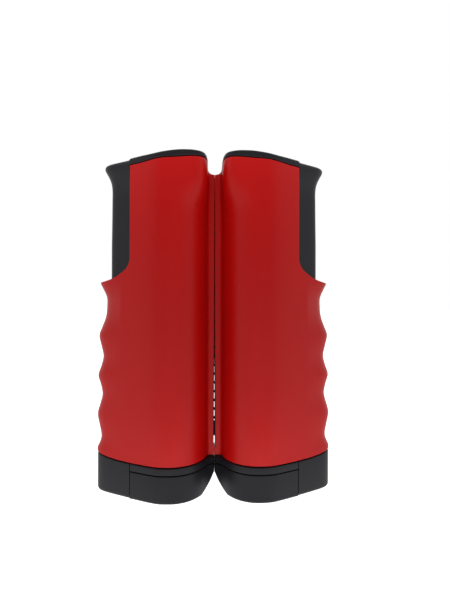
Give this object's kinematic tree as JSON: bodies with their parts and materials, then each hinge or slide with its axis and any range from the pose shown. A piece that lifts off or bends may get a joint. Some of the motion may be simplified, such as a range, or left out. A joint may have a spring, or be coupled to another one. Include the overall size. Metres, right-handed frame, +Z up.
{
  "type": "retractable table tennis net",
  "caption": "Spring-clamp posts with a table tennis net that pulls out from rollers inside them and winds back when let go.",
  "frame": {"origin": "on the underside of the closed clamps, midway between the two posts, in the middle of their depth", "axes": "+Z up along the posts, +X along the net from the left post to the right post, +Y to the back"},
  "size_m": [0.1336, 0.0462, 0.1903],
  "materials": {
    "red_shell": "satin moulded red plastic",
    "black_plastic": "satin moulded black plastic",
    "rubber_pad": "matt rubber",
    "roller_plastic": "moulded grey plastic",
    "bright_steel": "plain drawn rod",
    "spring_steel": "oiled spring wire",
    "black_screw": "black oxide",
    "net_cloth": "knitted netting"
  },
  "bodies": {
    "left_post": {"left_front_shell": "red_shell", "left_back_shell": "red_shell", "left_top_cap": "black_plastic", "left_upper_jaw": "black_plastic", "left_upper_pad": "rubber_pad", "left_roller_shaft": "bright_steel", "left_spring_rod": "bright_steel", "left_clamp_spring": "spring_steel", "left_return_spring": "spring_steel", "left_shell_screw_1": "black_screw", "left_shell_screw_2": "black_screw", "left_shell_screw_3": "black_screw", "left_shell_screw_4": "black_screw", "left_jaw_screw_1": "black_screw", "left_jaw_screw_2": "black_screw", "net_span": "net_cloth"},
    "left_clamp_slider": {"left_slider": "black_plastic", "left_lower_jaw": "black_plastic", "left_lower_pad": "rubber_pad", "left_foot_screw_1": "black_screw", "left_foot_screw_2": "black_screw"},
    "left_net_roller": {"left_roller_tube": "roller_plastic", "left_roller_foot_plug": "roller_plastic", "left_roller_head_plug": "roller_plastic", "left_net_roll": "net_cloth"},
    "right_post": {"right_front_shell": "red_shell", "right_back_shell": "red_shell", "right_top_cap": "black_plastic", "right_upper_jaw": "black_plastic", "right_upper_pad": "rubber_pad", "right_roller_shaft": "bright_steel", "right_spring_rod": "bright_steel", "right_clamp_spring": "spring_steel", "right_return_spring": "spring_steel", "right_shell_screw_1": "black_screw", "right_shell_screw_2": "black_screw", "right_shell_screw_3": "black_screw", "right_shell_screw_4": "black_screw", "right_jaw_screw_1": "black_screw", "right_jaw_screw_2": "black_screw"},
    "right_clamp_slider": {"right_slider": "black_plastic", "right_lower_jaw": "black_plastic", "right_lower_pad": "rubber_pad", "right_foot_screw_1": "black_screw", "right_foot_screw_2": "black_screw"},
    "right_net_roller": {"right_roller_tube": "roller_plastic", "right_roller_foot_plug": "roller_plastic", "right_roller_head_plug": "roller_plastic", "right_net_roll": "net_cloth"}
  },
  "joints": [
    {"name": "net_pull", "type": "slide", "parent": "left_post", "child": "right_post", "axis": [1, 0, 0], "range_m": [0, 1.7], "stiffness_N_per_m": 2, "springref_m": -1, "deforming": ["net_span"]},
    {"name": "left_clamp", "type": "slide", "parent": "left_post", "child": "left_clamp_slider", "axis": [0, 0, -1], "range_m": [0, 0.044], "stiffness_N_per_m": 450, "springref_m": -0.02, "deforming": ["left_clamp_spring"]},
    {"name": "right_clamp", "type": "slide", "parent": "right_post", "child": "right_clamp_slider", "axis": [0, 0, -1], "range_m": [0, 0.044], "stiffness_N_per_m": 450, "springref_m": -0.02, "deforming": ["right_clamp_spring"]},
    {"name": "left_roller", "type": "hinge", "parent": "left_post", "child": "left_net_roller", "pos_m": [-0.024, 0, 0.1], "axis": [0, 0, 1], "range_deg": [-4500, 0]},
    {"name": "right_roller", "type": "hinge", "parent": "right_post", "child": "right_net_roller", "pos_m": [0.024, 0, 0.1], "axis": [0, 0, 1], "range_deg": [0, 4500]}
  ],
  "couplings": [
    {"joint": "left_roller", "follows": "net_pull", "rad_per_m": -46.083},
    {"joint": "right_roller", "follows": "net_pull", "rad_per_m": 46.083}
  ]
}
